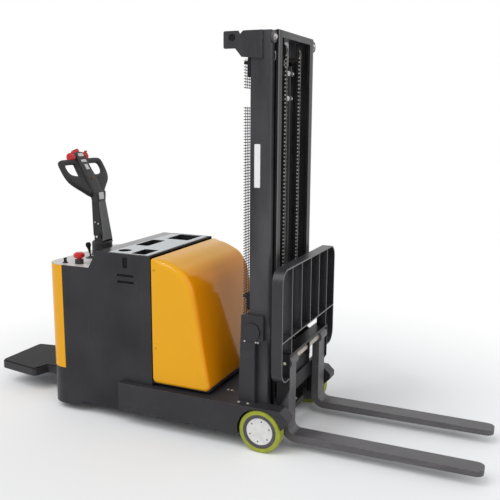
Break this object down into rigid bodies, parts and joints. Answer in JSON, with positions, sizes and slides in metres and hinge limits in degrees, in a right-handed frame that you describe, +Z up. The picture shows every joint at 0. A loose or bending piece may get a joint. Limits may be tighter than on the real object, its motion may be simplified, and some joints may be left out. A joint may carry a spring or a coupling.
{
  "type": "counterbalance stacker",
  "caption": "Walk-behind electric counterbalance stacker with a two-stage mast, forks, load backrest, covered counterweight, steering tiller and fold-up platform.",
  "frame": {"origin": "floor, under the middle of the overall box", "axes": "+X forward to the fork tips, +Y to the truck's left, +Z up"},
  "size_m": [2.942, 0.82, 2.08],
  "materials": {
    "frame_black": "semi-gloss",
    "mast_black": "semi-gloss",
    "panel_black": "satin",
    "cover_yellow": "gloss",
    "fork_grey": "satin",
    "steel": "satin",
    "chain_steel": "oiled",
    "chrome": "polished",
    "cast_iron": "rough",
    "tyre_green": "satin",
    "tyre_dark": "satin",
    "lid_grey": "satin",
    "plastic_black": "satin",
    "plastic_grey": "satin",
    "plastic_red": "gloss",
    "rubber_mat": "matt"
  },
  "bodies": {
    "chassis": {"leg_left": "frame_black", "leg_right": "frame_black", "chassis_frame": "frame_black", "fixed_pins": "frame_black", "side_panel_left": "panel_black", "side_panel_right": "panel_black", "rear_skirt": "panel_black", "rear_cover": "cover_yellow", "control_deck": "plastic_grey", "step_cowl": "panel_black", "counterweight_cover": "cover_yellow", "counterweight": "cast_iron", "battery": "plastic_black", "power_units": "frame_black", "platform_hinge": "frame_black", "tilt_cylinder": "frame_black"},
    "load_wheel_left": {"load_wheel_left": "tyre_green"},
    "load_wheel_right": {"load_wheel_right": "tyre_green"},
    "drive_unit": {"drive_gearbox": "cast_iron", "steering_column": "plastic_black"},
    "drive_wheel": {"drive_wheel": "tyre_dark"},
    "tiller": {"tiller_arm": "plastic_black", "tiller_head": "plastic_black"},
    "throttle": {"throttle_paddles": "plastic_red"},
    "belly_switch": {"belly_button": "plastic_red"},
    "horn_switch": {"horn_button": "plastic_red"},
    "lift_switch": {"lift_rocker": "plastic_grey"},
    "emergency_stop": {"emergency_stop": "plastic_red"},
    "key": {"key": "plastic_black"},
    "hydraulic_lever": {"hydraulic_lever": "plastic_black"},
    "platform": {"platform": "frame_black", "platform_mat": "rubber_mat"},
    "battery_lid": {"battery_lid": "lid_grey"},
    "outer_mast": {"outer_rail_left": "mast_black", "outer_rail_right": "mast_black", "mast_cross_members": "mast_black", "wire_guard": "mast_black", "lift_cylinder": "mast_black"},
    "outer_mast_rollers": {"outer_mast_rollers": "steel"},
    "tilt_rod": {"tilt_rod": "chrome"},
    "inner_mast": {"inner_rail_left": "mast_black", "inner_rail_right": "mast_black", "inner_mast_beams": "mast_black", "lift_rod": "chrome", "chains_front": "chain_steel", "chains_back": "chain_steel"},
    "inner_mast_rollers": {"inner_mast_rollers": "steel"},
    "chain_pulleys": {"chain_pulleys": "steel"},
    "carriage": {"carriage_frame": "mast_black", "carriage_side_left": "mast_black", "carriage_side_right": "mast_black", "fork_bar": "steel", "backrest_side_left": "mast_black", "backrest_side_right": "mast_black", "backrest_slats": "mast_black"},
    "carriage_rollers_low": {"carriage_rollers_low": "steel"},
    "carriage_rollers_high": {"carriage_rollers_high": "steel"},
    "fork_left": {"fork_left": "fork_grey"},
    "fork_right": {"fork_right": "fork_grey"}
  },
  "joints": [
    {"name": "load_wheel_left_spin", "type": "hinge", "parent": "chassis", "child": "load_wheel_left", "pos_m": [0.399, 0.353, 0.1125], "axis": [0, 1, 0], "continuous": true},
    {"name": "load_wheel_right_spin", "type": "hinge", "parent": "chassis", "child": "load_wheel_right", "pos_m": [0.399, -0.353, 0.1125], "axis": [0, 1, 0], "continuous": true},
    {"name": "steer", "type": "hinge", "parent": "chassis", "child": "drive_unit", "pos_m": [-0.799, 0, 0], "axis": [0, 0, 1], "range_deg": [-85, 85]},
    {"name": "drive_wheel_spin", "type": "hinge", "parent": "drive_unit", "child": "drive_wheel", "pos_m": [-0.799, 0, 0.11], "axis": [0, 1, 0], "continuous": true},
    {"name": "tiller_lower", "type": "hinge", "parent": "drive_unit", "child": "tiller", "pos_m": [-0.793, 0, 0.972], "axis": [0, -1, 0], "range_deg": [0, 70], "stiffness_Nm_per_rad": 15, "springref_deg": -45.84},
    {"name": "throttle_turn", "type": "hinge", "parent": "tiller", "child": "throttle", "pos_m": [-0.95621, 0, 1.43527], "axis": [0, 1, 0], "range_deg": [-28, 28], "stiffness_Nm_per_rad": 1},
    {"name": "belly_press", "type": "slide", "parent": "tiller", "child": "belly_switch", "axis": [0.5, 0, -0.866], "range_m": [0, 0.008], "stiffness_N_per_m": 600, "springref_m": -0.004},
    {"name": "horn_press", "type": "slide", "parent": "tiller", "child": "horn_switch", "axis": [-0.866, 0, -0.5], "range_m": [0, 0.003], "stiffness_N_per_m": 1000, "springref_m": -0.002},
    {"name": "lift_rock", "type": "hinge", "parent": "tiller", "child": "lift_switch", "pos_m": [-0.89104, 0, 1.37821], "axis": [0, 1, 0], "range_deg": [-8, 8], "stiffness_Nm_per_rad": 0.3},
    {"name": "stop_press", "type": "slide", "parent": "chassis", "child": "emergency_stop", "axis": [0, 0, 1], "range_m": [-0.008, 0], "stiffness_N_per_m": 1000, "springref_m": 0.005},
    {"name": "key_turn", "type": "hinge", "parent": "chassis", "child": "key", "pos_m": [-0.837, -0.3, 0.861], "axis": [0, 0, 1], "range_deg": [0, 90]},
    {"name": "lever_swing", "type": "hinge", "parent": "chassis", "child": "hydraulic_lever", "pos_m": [-0.796, -0.122, 0.8736], "axis": [0, 1, 0], "range_deg": [-15, 15], "stiffness_Nm_per_rad": 1.5},
    {"name": "platform_fold", "type": "hinge", "parent": "chassis", "child": "platform", "pos_m": [-0.975, 0, 0.138], "axis": [0, 1, 0], "range_deg": [0, 85]},
    {"name": "lid_open", "type": "hinge", "parent": "chassis", "child": "battery_lid", "pos_m": [-0.256, 0, 0.949], "axis": [0, 1, 0], "range_deg": [0, 75]},
    {"name": "mast_tilt", "type": "hinge", "parent": "chassis", "child": "outer_mast", "pos_m": [0.334, 0, 0.615], "axis": [0, 1, 0], "range_deg": [-4, 2]},
    {"name": "tilt_push", "type": "slide", "parent": "chassis", "child": "tilt_rod", "axis": [1, 0, 0], "range_m": [-0.0165, 0.033]},
    {"name": "mast_extend", "type": "slide", "parent": "outer_mast", "child": "inner_mast", "axis": [0, 0, 1], "range_m": [0, 1.5], "deforming": ["chains_back"]},
    {"name": "carriage_lift", "type": "slide", "parent": "inner_mast", "child": "carriage", "axis": [0, 0, 1], "range_m": [0, 1.5], "deforming": ["chains_front"]},
    {"name": "outer_roller_spin", "type": "hinge", "parent": "outer_mast", "child": "outer_mast_rollers", "pos_m": [0.3725, 0, 1.96], "axis": [0, 1, 0], "continuous": true},
    {"name": "inner_roller_spin", "type": "hinge", "parent": "inner_mast", "child": "inner_mast_rollers", "pos_m": [0.3565, 0, 0.12], "axis": [0, 1, 0], "continuous": true},
    {"name": "pulley_spin", "type": "hinge", "parent": "inner_mast", "child": "chain_pulleys", "pos_m": [0.368, 0, 1.992], "axis": [0, 1, 0], "continuous": true},
    {"name": "low_roller_spin", "type": "hinge", "parent": "carriage", "child": "carriage_rollers_low", "pos_m": [0.3725, 0, 0.168], "axis": [0, 1, 0], "continuous": true},
    {"name": "high_roller_spin", "type": "hinge", "parent": "carriage", "child": "carriage_rollers_high", "pos_m": [0.3725, 0, 0.486], "axis": [0, 1, 0], "continuous": true},
    {"name": "fork_left_shift", "type": "slide", "parent": "carriage", "child": "fork_left", "axis": [0, 1, 0], "range_m": [-0.12, 0.007]},
    {"name": "fork_right_shift", "type": "slide", "parent": "carriage", "child": "fork_right", "axis": [0, 1, 0], "range_m": [-0.007, 0.12]}
  ],
  "couplings": [
    {"joint": "tilt_push", "follows": "mast_tilt", "m_per_rad": -0.465},
    {"joint": "carriage_lift", "follows": "mast_extend", "ratio": 1},
    {"joint": "outer_roller_spin", "follows": "mast_extend", "rad_per_m": -24.39},
    {"joint": "inner_roller_spin", "follows": "mast_extend", "rad_per_m": -25},
    {"joint": "pulley_spin", "follows": "mast_extend", "rad_per_m": -26.316},
    {"joint": "low_roller_spin", "follows": "mast_extend", "rad_per_m": -24.39},
    {"joint": "high_roller_spin", "follows": "mast_extend", "rad_per_m": 24.39}
  ]
}
